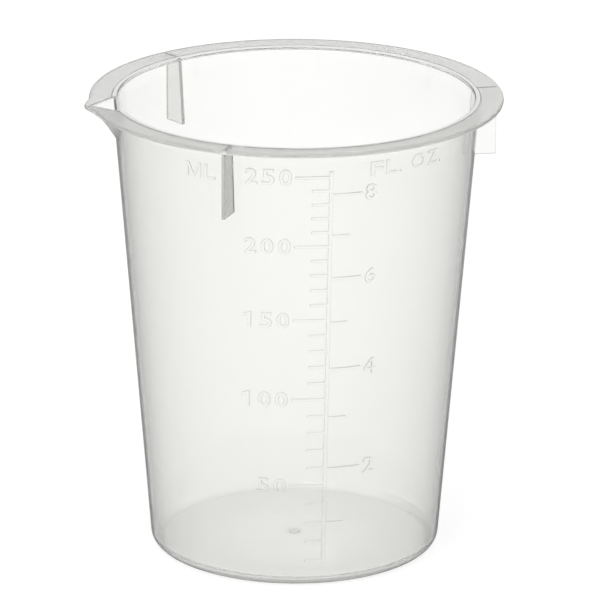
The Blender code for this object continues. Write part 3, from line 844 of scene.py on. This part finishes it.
def plastic_material():
    material = bpy.data.materials.new("milky_polypropylene_moulded")
    material.use_nodes = True
    tree = material.node_tree
    link = tree.links.new
    shader = tree.nodes["Principled BSDF"]
    shader.inputs["IOR"].default_value = IOR

    masks = {}
    for name in REGIONS:
        attribute = tree.nodes.new("ShaderNodeAttribute")
        attribute.attribute_name = name
        masks[name] = attribute.outputs["Fac"]
    transmission = range_node(tree, masks["milk"], TRANSMISSION, MILKY_TRANSMISSION)
    link(transmission, shader.inputs["Transmission Weight"])

    facing = tree.nodes.new("ShaderNodeLayerWeight")
    facing.inputs["Blend"].default_value = 0.5
    ramp = tree.nodes.new("ShaderNodeValToRGB")
    elements = ramp.color_ramp.elements
    while len(elements) < len(CLEARNESS_BY_FACING):
        elements.new(0.5)
    for element, (position, clearness) in zip(elements, CLEARNESS_BY_FACING):
        element.position = position
        element.color = (clearness, clearness, clearness, 1.0)
    link(facing.outputs["Facing"], ramp.inputs["Fac"])
    clearness = tree.nodes.new("ShaderNodeMath")
    clearness.operation = "POWER"
    link(ramp.outputs["Color"], clearness.inputs[0])
    link(range_node(tree, masks["inside"], 1.0, INSIDE_EXPONENT), clearness.inputs[1])

    hues = noise_node(tree, HUE_SCALE, HUE_DETAIL)
    tint = mix_node(tree, "OVERLAY", HUE_CHANGE, CLEAR_TINT, hues.outputs["Color"])
    clear = mix_node(tree, "MULTIPLY", 1.0, tint, clearness.outputs["Value"])
    colour = mix_node(tree, "MIX", masks["frost"], clear, FROST_TINT)
    # Painted shade: the colour is darkened where shade is painted on the plastic.
    brightness = range_node(tree, masks["painted_shade"], 1.0, 0.0)
    link(mix_node(tree, "MULTIPLY", 1.0, colour, brightness), shader.inputs["Base Color"])

    grain = noise_node(tree, GRAIN_SCALE, GRAIN_DETAIL).outputs["Fac"]
    least, most = CLEAR_ROUGHNESS - ROUGHNESS_CHANGE, CLEAR_ROUGHNESS + ROUGHNESS_CHANGE
    polished = range_node(tree, grain, least, most)
    roughness = tree.nodes.new("ShaderNodeMath")
    roughness.operation = "MAXIMUM"
    link(polished, roughness.inputs[0])
    link(range_node(tree, masks["frost"], 0.0, FROST_ROUGHNESS), roughness.inputs[1])
    link(roughness.outputs["Value"], shader.inputs["Roughness"])

    absorption = tree.nodes.new("ShaderNodeVolumeAbsorption")
    absorption.inputs["Color"].default_value = ABSORPTION_TINT
    absorption.inputs["Density"].default_value = ABSORPTION_DENSITY
    link(absorption.outputs["Volume"], tree.nodes["Material Output"].inputs["Volume"])
    return material


def show_as_background(tree):
    """A socket that is 1 for the rays that see the background, straight or through plastic."""
    path = tree.nodes.new("ShaderNodeLightPath")
    most = tree.nodes.new("ShaderNodeMath")
    most.operation = "MAXIMUM"
    tree.links.new(path.outputs["Is Camera Ray"], most.inputs[0])
    tree.links.new(path.outputs["Is Transmission Ray"], most.inputs[1])
    return most.outputs["Value"]


# What the floor and the room give as light and as reflections.
FLOOR_LIGHT = 0.85
FLOOR_REFLECTION = 0.45
ROOM_LIGHT = 0.85
ROOM_REFLECTION = 0.25
WHITE = (1.0, 1.0, 1.0, 1.0)
# The floor as the eye sees it: a glow up to white, less what the object's shadow takes away.
FLOOR_GLOW = 0.78
FLOOR_SHADOW_TINT = (0.3, 0.3, 0.3, 1.0)
FLOOR_SIZE = 4.0
FLOOR_DROP = 0.00005

CAMERA_PITCH = 0.3172
CAMERA_ROLL = 0.0045
CAMERA_TURN = math.radians(-10.4)
CAMERA_PLACE = (0.000897, -1.18196, 0.43734)
CAMERA_LENS = 380.98
CAMERA_SENSOR = 36.0

MOST_BOUNCES = 24
GLOSSY_BOUNCES = 12


def make_world():
    """White to the eye and through the plastic, and a plain room to its lit and shining faces."""
    world = bpy.data.worlds.new("studio")
    bpy.context.scene.world = world
    world.use_nodes = True
    tree = world.node_tree
    background = tree.nodes["Background"]
    background.inputs["Color"].default_value = WHITE
    path = tree.nodes.new("ShaderNodeLightPath")
    shine = range_node(tree, path.outputs["Is Glossy Ray"], ROOM_LIGHT, ROOM_REFLECTION)
    white = tree.nodes.new("ShaderNodeMath")
    white.operation = "MAXIMUM"
    tree.links.new(show_as_background(tree), white.inputs[0])
    tree.links.new(shine, white.inputs[1])
    tree.links.new(white.outputs["Value"], background.inputs["Strength"])


def make_floor():
    bm = bmesh.new()
    bmesh.ops.create_grid(bm, x_segments=1, y_segments=1, size=FLOOR_SIZE)
    floor = new_object("floor", bm)
    floor.location.z = -FLOOR_DROP
    material = bpy.data.materials.new("white_table")
    material.use_nodes = True
    tree = material.node_tree
    tree.nodes.clear()
    diffuse = tree.nodes.new("ShaderNodeBsdfDiffuse")
    path = tree.nodes.new("ShaderNodeLightPath")
    given = range_node(tree, path.outputs["Is Glossy Ray"], FLOOR_LIGHT, FLOOR_REFLECTION)
    tree.links.new(given, diffuse.inputs["Color"])
    soft = tree.nodes.new("ShaderNodeBsdfDiffuse")
    soft.inputs["Color"].default_value = FLOOR_SHADOW_TINT
    glow = tree.nodes.new("ShaderNodeEmission")
    glow.inputs["Strength"].default_value = FLOOR_GLOW
    add = tree.nodes.new("ShaderNodeAddShader")
    mix = tree.nodes.new("ShaderNodeMixShader")
    output = tree.nodes.new("ShaderNodeOutputMaterial")
    tree.links.new(soft.outputs[0], add.inputs[0])
    tree.links.new(glow.outputs[0], add.inputs[1])
    tree.links.new(show_as_background(tree), mix.inputs[0])
    tree.links.new(diffuse.outputs[0], mix.inputs[1])
    tree.links.new(add.outputs[0], mix.inputs[2])
    tree.links.new(mix.outputs[0], output.inputs["Surface"])
    floor.data.materials.append(material)


def make_camera():
    """The photograph's view: pitched down, nearly level, turned about the beaker's axis."""
    right = Vector((1.0, 0.0, 0.0))
    up = Vector((0.0, math.sin(CAMERA_PITCH), math.cos(CAMERA_PITCH)))
    back = right.cross(up)
    rolled_right = right * math.cos(CAMERA_ROLL) + up * math.sin(CAMERA_ROLL)
    rolled_up = up * math.cos(CAMERA_ROLL) - right * math.sin(CAMERA_ROLL)
    pose = Matrix((rolled_right, rolled_up, back)).transposed().to_4x4()
    pose.translation = CAMERA_PLACE
    camera_data = bpy.data.cameras.new("camera")
    camera_data.lens = CAMERA_LENS
    camera_data.sensor_width = CAMERA_SENSOR
    camera_data.clip_start = 0.05
    camera_data.clip_end = 50.0
    camera = bpy.data.objects.new("camera", camera_data)
    bpy.context.scene.collection.objects.link(camera)
    camera.matrix_world = Matrix.Rotation(CAMERA_TURN, 4, "Z") @ pose
    bpy.context.scene.camera = camera


def make_light(name, place, size, power):
    """A square lamp that points at the foot of the beaker's axis."""
    lamp = bpy.data.lights.new(name, "AREA")
    lamp.shape = "SQUARE"
    lamp.size = size
    lamp.energy = power
    obj = bpy.data.objects.new(name, lamp)
    bpy.context.scene.collection.objects.link(obj)
    obj.location = place
    obj.rotation_euler = (Vector(place) * -1.0).to_track_quat("-Z", "Y").to_euler()


def main():
    scene = bpy.context.scene
    scene.view_settings.view_transform = "Standard"
    scene.cycles.max_bounces = MOST_BOUNCES
    scene.cycles.transmission_bounces = MOST_BOUNCES
    scene.cycles.glossy_bounces = GLOSSY_BOUNCES
    moulding = make_moulding()
    moulding.data.materials.clear()
    moulding.data.materials.append(plastic_material())
    write_regions(moulding.data)
    for name in sorted(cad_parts):
        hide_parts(name)
    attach(moulding, "root")
    make_floor()
    make_world()
    make_camera()
    make_light("key", place=(-0.6, -0.9, 1.1), size=0.7, power=4.0)


main()
